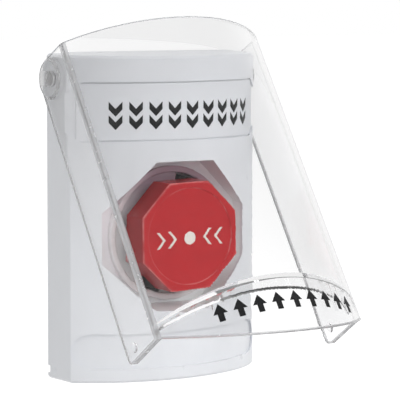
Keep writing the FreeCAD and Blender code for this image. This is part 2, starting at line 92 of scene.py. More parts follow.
class CoverSizes(bpy.types.PropertyGroup):
    """Sizes of the clear cover, taken in its shut place"""

    half: length("Half Width", "From the middle to the outside of a side wall", 0.04325)
    wall: length("Wall", "Thickness of the clear sheet", 0.002)
    back: length("Back", "Y of the walls' back edges", -0.00077)
    crease: length("Crease", "Y where a side wall meets the arched front", -0.02312)
    bulge: length("Bulge", "How far the arch stands in front of the creases", 0.02135)
    top: length("Top", "Height of the sheet at the creases", 0.05834)
    top_slope: ratio("Top Slope", "Fall of the top edge toward the front", 0.132)
    bottom: length("Bottom", "Height of the walls' lower edges", -0.06271)
    lip_slope: ratio("Lip Slope", "Dip of the lower edge toward the front", 0.55)
    corner: length("Corner", "Radius of the walls' lower back corners", 0.003)
    edge: length("Edge", "Rounding of the polished edges", 0.00035)
    # The lowest strip takes the rim finish, with its painted grey shade
    rim_share: share("Rim", "Share of the height that the lower rim's frosting reaches", 0.008)
    crease_outer: length("Crease Rounding", "How far the crease's rounding reaches outside", 0.0018)
    crease_inner: length("Inner Crease", "How far the crease's rounding reaches inside", 0.0006)
    pin_y: length("Pin Y", "Depth of the hinge pins' middle", -0.0087)
    pin_z: length("Pin Z", "Height of the hinge pins' middle", 0.052)
    seat: length("Pin Seat", "Radius of the blind pocket for the pin", 0.003)
    seat_end: length("Pocket Bottom", "X where the pocket ends", 0.043)
    groove: length("Groove", "Half the height of the groove to the pocket", 0.0029)
    groove_end: length("Groove Bottom", "X where the groove ends", 0.04225)
    pad: length("Pad Radius", "Radius of the pad outside an ear", 0.0078)
    pad_rise: length("Pad Rise", "How far the pad stands off the wall", 0.001)
    bump_ball: length("Bump Ball", "Radius of the ball a snap bump is cut from", 0.003)
    bump_tip: length("Bump Tip", "X of a snap bump's tip", 0.0406)
    bump_y: length("Bump Y", "Y of the snap bumps", -0.0065)
    bump_z: length("Bump Z", "Height of the snap bumps", -0.0578)
    lift: turn("Lift", "Angle that the cover is held open at", 34.66)
    arrow_half: length("Arrow Half Width", "Half the width of an arrow on the lip", 0.0026)
    arrow_tall: length("Arrow Height", "Height of an arrow on the lip", 0.0066)
    arrow_low: length("Arrow Foot", "Height of the arrows' feet", -0.0652)
    arrow_first: length("First Arrow", "Place of the first arrow along the lip", -0.0262)
    arrow_last: length("Last Arrow", "Place of the last arrow along the lip", 0.0315)
    rib_start: length("Rib Start", "Height of the rib over the walls' lower edges", 0.0042)
    rib_slope: ratio("Rib Slope", "Rise of the rib toward the front", 0.28)
    rib_thick: length("Rib Thickness", "Thickness of the crescent rib", 0.002)
    rib_radius: length("Rib Inner Radius", "Radius of the rib's free edge", 0.05877)
    rib_centre: length("Rib Inner Centre", "Y of the centre of the rib's free edge", 0.02192)
    rib_back: length("Rib Back", "Y where the rib ends", -0.0185)


class ButtonSizes(bpy.types.PropertyGroup):
    """Sizes of the push button and of the works around it"""

    height: length("Button Height", "Z of the button's middle", -0.0065)
    flats: length("Half Flats", "From the middle to a flat of the octagon", 0.0202)
    turn: turn("Turn", "Turn of the octagon against the clock", 1.4)
    face: length("Face", "Y of the button's face", -0.0379)
    rear: length("Rear", "Y of the button's open rear edge", -0.0257)
    wall: length("Wall", "Thickness of the head's sides", 0.0026)
    face_thick: length("Face Thickness", "Thickness of the head's face", 0.003)
    rounding: length("Edge Rounding", "Reach of the rounding around the face", 0.0007)
    corner: length("Corner Rounding", "Radius of the octagon's upright corners", 0.0009)
    dish: length("Dish Radius", "Radius of the shallow dish in the face", 0.0179)
    dish_depth: length("Dish Depth", "Depth of the shallow dish", 0.00045)
    mark_rise: length("Mark Rise", "Height of the mark over the face's middle", -0.0007)
    mark_half: length("Mark Half Height", "Half the height of a chevron on the face", 0.0031)
    mark_reach: length("Mark Reach", "From a chevron's point to its arms' ends", 0.0026)
    mark_thick: length("Mark Thickness", "Thickness of a chevron's arms on the face", 0.0012)
    mark_near: length("Mark Place", "From the middle to the first chevron's point", 0.0057)
    mark_step: length("Mark Step", "From one chevron to the next", 0.0048)
    mark_dot: length("Mark Dot", "Radius of the dot in the middle", 0.0024)
    boss: length("Boss Radius", "Radius of the boss behind the face", 0.007)
    boss_end: length("Boss End", "Y of the boss's rear end", -0.0271)
    socket: length("Socket Radius", "Radius of the boss's socket", 0.004)
    socket_end: length("Socket Bottom", "Y of the socket's bottom", -0.0339)
    ring: length("Ring Radius", "Outside radius of the guard ring", 0.0253)
    ring_thick: length("Ring Thickness", "Thickness of the guard ring", 0.0025)
    ring_front: length("Ring Front", "Y of the guard ring's front", -0.0242)
    ring_back: length("Ring Back", "Y of the well's floor behind the ring", -0.017)
    lip: length("Lip Radius", "Radius of the edge of the ring's thin lip", 0.0171)
    lip_front: length("Lip Front", "Y of the lip's front", -0.0213)
    lip_thick: length("Lip Thickness", "Thickness of the lip", 0.0004)
    lug_turn: turn("Lug Turn", "Direction of the lugs that the lip leaves free", 67.5)
    lug_angle: turn("Lug Angle", "Half the angle that the lip leaves free", 13.0)
    coil: length("Coil Radius", "Radius of the return spring's middle line", 0.0092)
    wire: length("Wire", "Thickness of the return spring's wire", 0.001)
    coil_front: length("Coil Front", "Y where the return spring starts", -0.03485)
    coil_back: length("Coil Back", "Y where the return spring ends", -0.02145)
    turns: ratio("Turns", "Turns of the return spring", 4.5)


class HousingSizes(bpy.types.PropertyGroup):
    """Sizes of the housing's front and of the pieces set into it"""

    front_radius: length("Front Radius", "Radius of the arched front", 0.05722)
    front_centre: length("Front Centre", "Y of the arched front's centre", 0.02192)
    recess: length("Recess", "Depth of the label's recess", 0.001)
    label_thick: length("Label Thickness", "Thickness of the label strip", 0.0005)
    label_top: length("Label Top", "Height of the label strip's upper edge", 0.0504)
    label_bottom: length("Label Bottom", "Height of the label strip's lower edge", 0.0295)
    label_half: length("Label Half Width", "From the middle to the label's end", 0.0376)
    chevron_half: length("Chevron Half Width", "Half the width of a chevron on the label", 0.0025)
    chevron_rise: length("Chevron Rise", "From a chevron's point up to its arms' feet", 0.0026)
    chevron_thick: length("Chevron Thickness", "Upright thickness of a chevron's arms", 0.0028)
    chevron_low: length("Chevron Height", "Height of the lower row's points", 0.0334)
    chevron_step: length("Chevron Step", "From the lower row up to the upper one", 0.0049)
    chevron_first: length("First Chevron", "Place of the first chevron along the front", -0.0275)
    chevron_last: length("Last Chevron", "Place of the last chevron along the front", 0.0325)
    pin_radius: length("Pin Radius", "Radius of a hinge pin", 0.0029)
    pin_flat: length("Pin Flat", "From the pin's middle down to its flat", 0.00245)
    pin_chamfer: length("Pin Chamfer", "Chamfer of the pin's end", 0.0004)
    pin_inner: length("Pin Inner End", "X where a hinge pin starts", 0.038)
    pin_outer: length("Pin Outer End", "X where a hinge pin ends", 0.0429)
    ink: length("Ink", "How far a printed mark stands off its surface", 0.00006)


class StationTints(bpy.types.PropertyGroup):
    """Colours of the station's finishes"""

    housing: tint("Housing", "Moulded white of the housing", (0.815, 0.83, 0.86))
    # Painted light: a paler white that stands in for light that the recess lacks
    recess: tint("Recess", "Paler white inside the recess", (0.93, 0.97, 0.97))
    label: tint("Label", "Off-white of the label strip", (0.815, 0.83, 0.86))
    button: tint("Button", "Red of the push button", (0.525, 0.026, 0.031))
    # Painted shade and painted reflection: mauve for the shade and the button's red light near it
    painted_shade_and_bounce: tint("Blush", "Colour of the recess close to the button", (0.88, 0.84, 0.87))
    # Painted shade: mauve at the ring's top for its shade and the button's red reflected in it
    ring_shade: tint("Mauve", "Colour of the guard ring at its top", (0.42, 0.29, 0.35))
    # Painted shade: the button's sides are a darker red for the light that falls away from them
    sides: tint("Deep Red", "Deeper red of the button's sides", (0.37, 0.015, 0.018))
    # Painted highlight: paler red along the button's edges
    edge_highlight: tint("Worn Red", "Paler red of the button's rubbed edges", (0.80, 0.30, 0.29))
    ring: tint("Guard Ring", "Pale plastic of the guard ring", (0.82, 0.80, 0.81))
    pin: tint("Hinge Pin", "Grey of the hinge pins", (0.30, 0.295, 0.30))
    works: tint("Works", "Black of the operator and the switches", (0.012, 0.012, 0.013))
    cam: tint("Cam", "Pale plastic of the cam stem", (0.62, 0.60, 0.55))
    zinc: tint("Zinc", "Plated steel of the mounting plate", (0.60, 0.61, 0.62))
    brass: tint("Brass", "Brass of the terminal clamps", (0.72, 0.52, 0.24))
    ink: tint("Ink", "Black of the printed marks", (0.008, 0.008, 0.009))
    cream: tint("Cream", "Pale ink on the button", (0.86, 0.80, 0.74))
    steel: tint("Steel", "Drawn wire of the return spring", (0.55, 0.55, 0.56))
    clear: tint("Clear", "Clear sheet of the cover", (0.918, 0.918, 0.92))
    # Painted shade: grey for the darker look of the sheet's edges and creases
    rim: tint("Rim", "Edges and creases of the clear sheet", (0.62, 0.62, 0.63))


class StudioSettings(bpy.types.PropertyGroup):
    """Camera and light of the studio"""

    camera_place: FloatVectorProperty(
        name="Camera Place", description="Where the camera stands",
        default=(-0.4120, -0.7037, 0.0862), subtype="TRANSLATION", unit="LENGTH")
    camera_turn: turn("Camera Turn", "Turn of the view to the object's right", 31.967)
    camera_tilt: turn("Camera Tilt", "Downward tilt of the view", 5.756)
    camera_roll: turn("Camera Roll", "Roll of the camera", 0.151)
    lens: FloatProperty(
        name="Lens", description="Focal length in millimetres on a 36 mm sensor",
        default=191.16, subtype="DISTANCE_CAMERA")
    floor: length("Floor", "Height of the floor", -0.105)
    sky: ratio("Sky", "Level of the even light all around", 0.57)
    gloss_front: share("Gloss Front", "Level that gloss sees at the camera's side", 0.26)
    floor_glow: share("Floor Glow", "Level that lightens the floor for the eye", 0.6)
    key: power("Key Lamp", "Power of the large front lamp", 3.4)
    fill: power("Fill Lamp", "Power of the lamp at the left", 2.3)
    glint: power("Glint Lamp", "Power of the small lamp that draws the edges", 0.9)
    top: power("Top Lamp", "Power of the lamp overhead", 0.85)


def part(group, name, description):
    return PointerProperty(type=group, name=name, description=description)


class StationSettings(bpy.types.PropertyGroup):
    """All sizes, colours and studio values of the push button station"""

    cover: part(CoverSizes, "Cover", "Sizes of the clear cover")
    button: part(ButtonSizes, "Button", "Sizes of the push button")
    housing: part(HousingSizes, "Housing", "Sizes of the housing's front")
    tints: part(StationTints, "Colours", "Colours of the finishes")
    studio: part(StudioSettings, "Studio", "Camera and light")
    fineness: IntProperty(
        name="Fineness", description="Points around the guard ring", default=256, min=32, max=512)


def settings():
    return bpy.context.scene.push_station


# Surfaces from whole arrays of points

SAME_POINT = 1e-7  # points of a surface nearer to each other than this are one
SAME_CORNER = 1e-6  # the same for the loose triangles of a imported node
NO_LENGTH = 1e-9  # steps of a line shorter than this are left out
EASED_ABOVE = math.radians(30)  # edges that turn by more are rounded
SHARP_ABOVE = math.radians(40)  # edges that turn by more stay crisp
ROUND = 96  # points around the pads and pockets of the cover's ears
MARKS = 9  # in a printed row


def spread(*grids):
    """Points whose coordinates are widened to the one grid that they make together."""
    return np.stack(np.broadcast_arrays(*grids), -1)


def grid_faces(rows, columns, ring=False):
    """Quads between neighbours of a grid whose points are numbered row by row. A ring joins its
    last column to its first."""
    r = np.arange(rows - 1)[:, None] * columns
    c = np.arange(columns if ring else columns - 1)[None, :]
    c2 = (c + 1) % columns
    return np.stack([r + c, r + c2, r + columns + c2, r + columns + c], -1).reshape(-1, 4)


def slab(near, far):
    """Closed sheet between two grids of the same shape: both grids, and a wall that joins their
    borders point to point."""
    rows, columns = near.shape[:2]
    faces = grid_faces(rows, columns)
    count = rows * columns
    number = np.arange(count).reshape(rows, columns)
    rim = np.concatenate([number[0, :-1], number[:-1, -1], number[-1, :0:-1], number[:0:-1, 0]])
    following = np.roll(rim, -1)
    wall = np.stack([rim + count, following + count, following, rim], -1)
    points = np.concatenate([near.reshape(-1, 3), far.reshape(-1, 3)])
    return points, np.concatenate([faces, faces[:, ::-1] + count, wall])


def tube(points):
    """Closed surface from rings of points, one ring in each row. The first and last rings have
    shrunk to a point."""
    return points.reshape(-1, 3), grid_faces(*points.shape[:2], ring=True)


def bend(a, corner, b, t):
    """Curve from A to B that rounds a corner C: (1-t)^2 A + 2t(1-t) C + t^2 B."""
    return (1 - t) ** 2 * a + 2 * t * (1 - t) * corner + t ** 2 * b


def eased(corners, reach, steps=4):
    """Line whose corners are rounded by bend(), between the places at each corner's reach on its
    two sides. The ends stay."""
    corners = np.asarray(corners, float)
    reach = np.asarray(reach, float)[:, None]
    places = []
    for neighbours in ((corners[:1], corners[:-1]), (corners[1:], corners[-1:])):
        way = np.concatenate(neighbours) - corners
        size = np.maximum(np.linalg.norm(way, axis=1, keepdims=True), NO_LENGTH)
        places.append((corners + way / size * reach)[:, None])
    t = np.linspace(0, 1, steps + 1)[None, :, None]
    line = bend(places[0], corners[:, None], places[1], t).reshape(-1, corners.shape[1])
    keep = np.r_[True, np.linalg.norm(np.diff(line, axis=0), axis=1) > NO_LENGTH]
    return line[keep]


def around_y(r, y, a, z):
    """Points around an axis along Y at a height: (r cos a, y, z + r sin a)."""
    return spread(r * np.cos(a), y, z + r * np.sin(a))


def turned_x(profile, sign, y, z, steps=48, flat=np.inf):
    """Rings around an axis along X. Row i has the radius profile[i, 0] at X = sign times
    profile[i, 1], and no point lies further below the axis than the flat."""
    profile = np.asarray(profile, float)
    a = np.linspace(0, 2 * np.pi, steps, endpoint=False)[None, :]
    r, x = profile[:, :1], profile[:, 1:]
    return tube(spread(sign * x, y + r * np.cos(a), z + np.maximum(r * np.sin(a), -flat)))


def wrapped(x, z, radius, centre):
    """Points wrapped onto an upright cylinder: X = R sin(x / R), Y = centre - R cos(x / R)."""
    return spread(radius * np.sin(x / radius), centre - radius * np.cos(x / radius), z)


def joined(surfaces):
    """Several closed surfaces as one list of points and one of faces."""
    start = np.cumsum([0] + [len(points) for points, faces in surfaces[:-1]])
    return (np.concatenate([points for points, faces in surfaces]),
            np.concatenate([faces + n for (points, faces), n in zip(surfaces, start)]))


def surface_mesh(name, surface, finishes):
    """Closed mesh from points, faces and, if given, the number of each face's finish. Doubles are
    merged, which closes seams and poles, and all faces turned outward."""
    points, faces, *kinds = surface
    mesh = bpy.data.meshes.new(name)
    mesh.from_pydata(points.tolist(), [], faces.tolist())
    for finish in finishes:
        mesh.materials.append(finish)
    if kinds:
        mesh.polygons.foreach_set("material_index", kinds[0])
    grid = bmesh.new()
    grid.from_mesh(mesh)
    bmesh.ops.remove_doubles(grid, verts=grid.verts, dist=SAME_POINT)
    bmesh.ops.dissolve_degenerate(grid, edges=grid.edges, dist=SAME_POINT / 10)
    bmesh.ops.recalc_face_normals(grid, faces=grid.faces)
    if grid.calc_volume(signed=True) < 0:
        bmesh.ops.reverse_faces(grid, faces=grid.faces)
    grid.to_mesh(mesh)
    grid.free()
    mesh.shade_smooth()
    return mesh


def add_piece(name, surface, finishes, body, node=None):
    """Makes a piece from a closed surface and the names of its finishes. It rides on a body, and
    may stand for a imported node."""
    mesh = surface_mesh(name, surface, [finish_of(finish) for finish in finishes])
    piece = bpy.data.objects.new(name, mesh)
    bpy.context.scene.collection.objects.link(piece)
    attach(piece, body)
    if node:
        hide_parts(node)
    return piece


def carve(piece, surface, operation="DIFFERENCE"):
    """Cuts a closed surface out of a piece, or adds it to the piece, and keeps only the result,
    with all modifiers applied."""
    mesh = surface_mesh("tool", surface, list(piece.data.materials))
    tool = bpy.data.objects.new("tool", mesh)
    bpy.context.scene.collection.objects.link(tool)
    cut = piece.modifiers.new("Cut", "BOOLEAN")
    cut.operation, cut.solver, cut.object = operation, "EXACT", tool
    shown = piece.evaluated_get(bpy.context.evaluated_depsgraph_get())
    result = bpy.data.meshes.new_from_object(shown)
    piece.modifiers.clear()
    old, piece.data = piece.data, result
    result.name = piece.name
    bpy.data.objects.remove(tool)
    bpy.data.meshes.remove(mesh)
    bpy.data.meshes.remove(old)
    result.shade_smooth()


def even_normals(piece):
    """Lets large faces keep their own direction where they meet small ones."""
    normals = piece.modifiers.new("Normals", "WEIGHTED_NORMAL")
    normals.weight, normals.keep_sharp = 100, True


def ease_edges(piece, width, segments=2, finish=-1):
    """Rounds a piece's edges. The rounding may have a finish of its own, by its number."""
    bevel = piece.modifiers.new("Edges", "BEVEL")
    bevel.width, bevel.segments = width, segments
    bevel.limit_method, bevel.angle_limit = "ANGLE", EASED_ABOVE
    bevel.miter_outer = "MITER_SHARP"
    bevel.material = finish
    even_normals(piece)


# Finishes

WHITE = (1.0, 1.0, 1.0, 1.0)


def add_node(tree, kind, *sockets, modes=(), **named):
    """New shader node with its modes set. Its inputs, in order or by name, take values or links."""
    node = tree.nodes.new("ShaderNode" + kind)
    for key, mode in modes:
        setattr(node, key, mode)
    feed(tree, node, *sockets, **named)
    return node


def feed(tree, node, *sockets, **named):
    """Gives a node's inputs their values, or links them to other nodes' outputs."""
    for key, value in [*enumerate(sockets), *named.items()]:
        socket = node.inputs[key.replace("_", " ") if isinstance(key, str) else key]
        if isinstance(value, bpy.types.NodeSocket):
            tree.links.new(value, socket)
        else:
            socket.default_value = value


def sum_of(tree, operation, one, other):
    """Result of a clamped sum, difference or product of two outputs or numbers."""
    modes = (("operation", operation), ("use_clamp", True))
    return add_node(tree, "Math", one, other, modes=modes).outputs["Value"]


def ranged(tree, source, low, high, start=0.0, end=1.0, modes=()):
    """Goes from start to end as the source goes from low to high, and stays level past them."""
    span = add_node(tree, "MapRange", modes=modes, Value=source, From_Min=low, From_Max=high,
                    To_Min=start, To_Max=end)
    return span.outputs["Result"]


def mixed(tree, share_of, first, second):
    """Shader that turns from a first to a second with a share."""
    return add_node(tree, "MixShader", share_of, first, second).outputs["Shader"]


class Finish:
    """A material under construction: one Principled shader and the patterns that feed it. A pattern
    is the scale, detail and roughness of a noise, and its stretch along each axis if it has one."""

    def __init__(self, name, colour, **levels):
        self.material = bpy.data.materials.new(name)
        self.material.use_nodes = True
        self.tree = self.material.node_tree
        self.shader = self.tree.nodes["Principled BSDF"]
        self.place = add_node(self.tree, "TexCoord").outputs["Object"]
        self.colour = colour
        self.set(Base_Color=(*colour, 1.0), **levels)

    def set(self, **levels):
        """Sets or links the shader's own inputs."""
        feed(self.tree, self.shader, **levels)

    def show(self, shader):
        """Makes a shader the one that is seen."""
        feed(self.tree, self.tree.nodes["Material Output"], Surface=shader)

    def noise(self, scale, detail, roughness, stretch=(1.0, 1.0, 1.0)):
        """Noise over the object's own coordinates. Scale is in lumps per metre."""
        place = add_node(self.tree, "Mapping", Vector=self.place, Scale=stretch)
        return add_node(self.tree, "TexNoise", Vector=place.outputs["Vector"], Scale=scale,
                        Detail=detail, Roughness=roughness).outputs["Fac"]

    def tone(self, pattern, dark, light, low=0.35, high=0.65):
        """Colour that moves between two shares of the base colour with a pattern."""
        ramp = add_node(self.tree, "ValToRGB", Fac=self.noise(*pattern))
        for stop, place, part in zip(ramp.color_ramp.elements, (low, high), (dark, light)):
            stop.position = place
            stop.color = (*[min(1.0, level * part) for level in self.colour], 1.0)
        self.set(Base_Color=ramp.outputs["Color"])

    def gloss(self, pattern, low, high):
        """Roughness that moves between two levels with a pattern."""
        self.set(Roughness=ranged(self.tree, self.noise(*pattern), 0.3, 0.7, low, high))

    def relief(self, pattern, strength, distance):
        """Small unevenness of the surface."""
        bump = add_node(self.tree, "Bump", Height=self.noise(*pattern), Strength=strength,
                        Distance=distance)
        self.set(Normal=bump.outputs["Normal"])

    def near(self, middle, scale, outer, inner):
        """Mask that rises from 0 to 1 as the distance from a place, scaled along each axis, goes
        from outer to inner."""
        shift = [-place * by for place, by in zip(middle, scale)]
        place = add_node(self.tree, "Mapping", Vector=self.place, Location=shift, Scale=scale)
        far = add_node(self.tree, "VectorMath", place.outputs["Vector"],
                       modes=(("operation", "LENGTH"),))
        return ranged(self.tree, far.outputs["Value"], outer, inner)

    def both(self, one, other):
        """Mask that is 1 where two masks are."""
        return sum_of(self.tree, "MULTIPLY", one, other)

    def patch(self, mask, colour):
        """Lays a second colour over the first where a mask is 1."""
        under = self.shader.inputs["Base Color"].links[0].from_socket
        mix = add_node(self.tree, "Mix", modes=(("data_type", "RGBA"),), Factor=mask, A=under,
                       B=(*colour, 1.0))
        self.set(Base_Color=mix.outputs["Result"])

    def let_through(self, tint):
        """Lets lamps shine through a clear finish, dimmed by a tint."""
        clear = add_node(self.tree, "BsdfTransparent", Color=(*tint, 1.0)).outputs["BSDF"]
        shadow = add_node(self.tree, "LightPath").outputs["Is Shadow Ray"]
        self.show(mixed(self.tree, shadow, self.shader.outputs["BSDF"], clear))


def painted_recess_light_and_shade(f):
    """Painted light: paler white round the button, behind the arched front and ahead of the
    well's floor, that makes up for the shade in the recess. Painted shade and painted
    reflection: a trace of the button's red close to it."""
    b, h, tints = settings().button, settings().housing, settings().tints
    skin, fade = h.front_radius - 0.0006, 0.0008
    behind = f.near((0, h.front_centre, 0), (1, 1, 0), skin, skin - fade)
    start = 2 * b.face  # a Y well in front of the station, to measure depths from
    depth = b.ring_back - start
    ahead = f.near((0, start, 0), (0, 1, 0), depth + 0.0003, depth)
    inside = f.both(behind, ahead)
    upright = 1.15  # the recess is less tall than wide, so heights count for more
    # Painted light: the recess round the button is made paler where it lies in shade
    around = f.near((0, 0, b.height), (1, 0, upright), 0.0375, 0.0355)
    f.patch(f.both(around, inside), tints.recess)
    # Painted shade and painted reflection: mauve close to the button
    close = f.near((-0.003, 0, b.height + 0.005), (1, 0, 1), 0.034, 0.025)
    f.patch(f.both(close, inside), tints.painted_shade_and_bounce)


def painted_red_shade_and_highlight(f):
    """Painted shade: deeper red on the sides, behind the face. Painted highlight: paler red in
    patches along the marked edges.
    """
    b, tints = settings().button, settings().tints
    # Painted shade: deeper red on the sides, behind the face
    f.patch(f.near((0, b.face, 0), (0, 1, 0), 0.0006, 0.0014), tints.sides)
    # Painted highlight: paler red in patches along the marked edges
    edges = add_node(f.tree, "Attribute", modes=(("attribute_name", "edge_wear"),)).outputs["Fac"]
    patchy_highlight = ranged(f.tree, f.noise(120, 3, 0.6), 0.38, 0.56)
    f.patch(f.both(edges, patchy_highlight), tints.edge_highlight)


def painted_ring_top_shade(f):
    """Painted shade and painted reflection: mauve towards the ring's top, for its shade and the
    button's red in it.
    """
    b = settings().button
    top = f.near((0.003, 0, b.height + b.ring), (1, 0, 1), 0.034, 0.012)
    f.patch(top, settings().tints.ring_shade)


# A finish is its colour among the tints, patterns with the levels that they move between for its
# tone and gloss, a pattern with its strength and depth in metres for its relief, what is added to
# it, the tint that lamps take on through it, and plain levels of the shader. Beside a gloss, the
# plain roughness is for exports that can't keep the pattern.
INK = dict(gloss=((1500, 3, 0.6), 0.42, 0.6), Roughness=0.5, Specular_IOR_Level=0.25)
FINISHES = {
    # Satin plastic with faint flow marks, fine mould grain and handling marks in the gloss, with
    #     painted light and painted shade in the recess round the button
    "moulded_white": dict(
        tint="housing", tone=((38, 4, 0.55, (1, 1, 0.45)), 0.975, 1.015),
        gloss=((120, 5, 0.6), 0.27, 0.40), relief=((2600, 2, 0.5), 0.10, 0.00004),
        more=painted_recess_light_and_shade, Roughness=0.32, Specular_IOR_Level=0.45),
    # Matt laminated strip with the slight mottle of printed film
    "label_sheet": dict(
        tint="label", tone=((900, 3, 0.6), 0.98, 1.01), relief=((4200, 2, 0.5), 0.08, 0.00003),
        Roughness=0.55, Specular_IOR_Level=0.35),
    # Deep red plastic with a soft gloss and a mottled pigment, painted shade on its sides and
    #     painted highlights on its edges
    "button_red": dict(
        tint="button", tone=((160, 5, 0.6), 0.95, 1.03), gloss=((260, 5, 0.65), 0.16, 0.28),
        relief=((3000, 3, 0.55), 0.12, 0.00005), more=painted_red_shade_and_highlight, Roughness=0.2,
        Specular_IOR_Level=0.16, Coat_Weight=0.05, Coat_Roughness=0.05),
    # Polished pale ring with a faint unevenness in its gloss, and painted shade at its top
    "ring_gloss": dict(
        tint="ring", tone=((220, 4, 0.5), 0.97, 1.02), gloss=((500, 4, 0.6), 0.06, 0.16),
        more=painted_ring_top_shade, Roughness=0.1, Specular_IOR_Level=0.6, Coat_Weight=0.5,
        Coat_Roughness=0.03),
    # Plain grey moulded pin
    "pin_grey": dict(
        tint="pin", tone=((700, 3, 0.5), 0.92, 1.06), gloss=((900, 3, 0.5), 0.32, 0.5),
        Roughness=0.4),
    # Black moulded plastic with a fine spark-eroded grain
    "works_black": dict(
        tint="works", tone=((300, 4, 0.6), 0.8, 1.5), gloss=((500, 4, 0.6), 0.38, 0.56),
        relief=((3500, 3, 0.6), 0.25, 0.00006), Roughness=0.45),
    # Natural slippery plastic of the cam stem
    "cam_white": dict(
        tint="cam", tone=((260, 3, 0.5), 0.95, 1.03), gloss=((420, 3, 0.5), 0.3, 0.45),
        Roughness=0.36, Subsurface_Weight=0.1, Subsurface_Radius=(0.001, 0.001, 0.001)),
    # Zinc-plated steel with fine spangle, rolling lines and dull handling marks
    "zinc_plate": dict(
        tint="zinc", tone=((180, 6, 0.7), 0.82, 1.10, 0.3, 0.7),
        gloss=((90, 4, 0.6, (1, 1, 14)), 0.26, 0.48),
        relief=((1500, 2, 0.5, (1, 1, 0.06)), 0.15, 0.00004), Roughness=0.35, Metallic=1.0),
    # Drawn spring wire
    "spring_steel": dict(
        tint="steel", tone=((900, 4, 0.6), 0.85, 1.05), gloss=((1200, 3, 0.5), 0.2, 0.36),
        Roughness=0.28, Metallic=1.0),
    # Stamped brass with slight tarnish
    "terminal_brass": dict(
        tint="brass", tone=((420, 5, 0.65), 0.75, 1.08, 0.3, 0.7),
        gloss=((700, 4, 0.6), 0.24, 0.45), Roughness=0.32, Metallic=1.0),
    # Clear moulded sheet with faint wipe marks in its gloss
    "clear_sheet": dict(
        tint="clear", gloss=((45, 5, 0.65, (1, 1, 0.25)), 0.0, 0.012),
        through=(0.97, 0.97, 0.975), Roughness=0.0, IOR=1.49, Transmission_Weight=1.0),
    # Edges and creases of the sheet: a painted grey shade for how dark they look from the depth
    #     behind them, and a little frosted
    "clear_rim": dict(
        tint="rim", gloss=((300, 4, 0.6), 0.12, 0.3), through=(0.85, 0.855, 0.86),
        Roughness=0.2, IOR=1.49, Transmission_Weight=0.6),
    # Screen-printed inks, a little uneven in their gloss
    "ink_black": dict(tint="ink", **INK),
    "ink_cream": dict(tint="cream", **INK),
}


def new_finish(name, tint, tone=None, gloss=None, relief=None, more=None, through=None, **levels):
    """Makes the finish that a row of FINISHES describes."""
    f = Finish(name, getattr(settings().tints, tint), **levels)
    for lay, values in ((f.tone, tone), (f.gloss, gloss), (f.relief, relief)):
        if values:
            lay(*values)
    if more:
        more(f)
    if through:
        f.let_through(through)
    return f.material


def finish_of(name):
    """A finish by its name, made once."""
    return bpy.data.materials.get(name) or new_finish(name, **FINISHES[name])


# Pieces


def dress(node, finish, edge, segments=2):
    """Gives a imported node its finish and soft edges, and welds its loose triangles for them."""
    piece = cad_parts[node]
    piece.data.materials.clear()
    piece.data.materials.append(finish_of(finish))
    piece.data.shade_smooth()
    piece.modifiers.new("Merge", "WELD").merge_threshold = SAME_CORNER
    ease_edges(piece, edge, segments)


def printed_rows(mark, first, last, heights, radius, centre, sunk):
    """Copies of a mark's grid in rows on an upright cylinder. Each is a slab from the ink's height
    above the surface to a depth sunk into it."""
    u, v = mark
    outside, inside = radius + settings().housing.ink, radius - sunk
    return joined([
        slab(wrapped(x + u, z + v, outside, centre), wrapped(x + u, z + v, inside, centre))
        for x in np.linspace(first, last, MARKS) for z in heights
    ])


class STATION_OT_housing(bpy.types.Operator):
    """Finish the moulded housing"""

    bl_idname = "push_station.housing"
    bl_label = "Housing"

    def execute(self, context):
        dress("housing_shell", "moulded_white", 0.00028, 3)
        return {"FINISHED"}


class STATION_OT_label(bpy.types.Operator):
    """Make the blank label strip"""

    bl_idname = "push_station.label"
    bl_label = "Label Strip"

    def execute(self, context):
        h = settings().housing
        inner = h.front_radius - h.recess
        reach = inner * math.asin(h.label_half / inner)
        x = np.linspace(-reach, reach, 97)[None, :]
        z = np.linspace(h.label_bottom, h.label_top, 5)[:, None]
        strip = slab(*[wrapped(x, z, r, h.front_centre) for r in (inner + h.label_thick, inner)])
        film = add_piece("label_film", strip, ["label_sheet"], "station", "label_strip")
        ease_edges(film, 0.0001)
        return {"FINISHED"}


def chevron(half, rise, thick):
    """Grid of a chevron that points down: u runs across, and v = rise |u| / half + thick t."""
    u = np.linspace(-half, half, 9)[None, :]
    t = np.linspace(0, 1, 3)[:, None]
    return u, rise * np.abs(u) / half + thick * t


class STATION_OT_label_marks(bpy.types.Operator):
    """Print a row of double chevrons that point down at the button"""

    bl_idname = "push_station.label_marks"
    bl_label = "Label Marks"

    def execute(self, context):
        h = settings().housing
        marks = printed_rows(
            chevron(h.chevron_half, h.chevron_rise, h.chevron_thick), h.chevron_first,
            h.chevron_last, (h.chevron_low, h.chevron_low + h.chevron_step),
            h.front_radius - h.recess + h.label_thick, h.front_centre, h.ink)
        add_piece("label_marks", marks, ["ink_black"], "station")
        return {"FINISHED"}


def octagon_radius(angle, corner):
    """Radius of an octagon with half flats of 1 in a direction: 1 / cos(d) along the flats, where d
    is the angle from the middle of the flat, and a circle of the corner's radius round each
    corner."""
    eighth = np.pi / 8
    d = np.mod(angle + eighth, 2 * eighth) - eighth
    far = (1 - corner) / np.cos(eighth)
    off = eighth - np.abs(d)
    inside = corner ** 2 - (far * np.sin(off)) ** 2
    rounded = far * np.cos(off) + np.sqrt(np.maximum(inside, 0))
    return np.where(inside > 0, np.minimum(1 / np.cos(d), rounded), 1 / np.cos(d))


def button_angles():
    """Directions around the octagon, closer together at its corners."""
    half = np.r_[np.linspace(0.0, 0.93, 9), np.linspace(0.95, 1.0, 5)] * np.pi / 8
    one = np.concatenate([-half[:0:-1], half[:-1]])
    return (np.arange(8)[:, None] * np.pi / 4 + one[None, :]).reshape(-1)


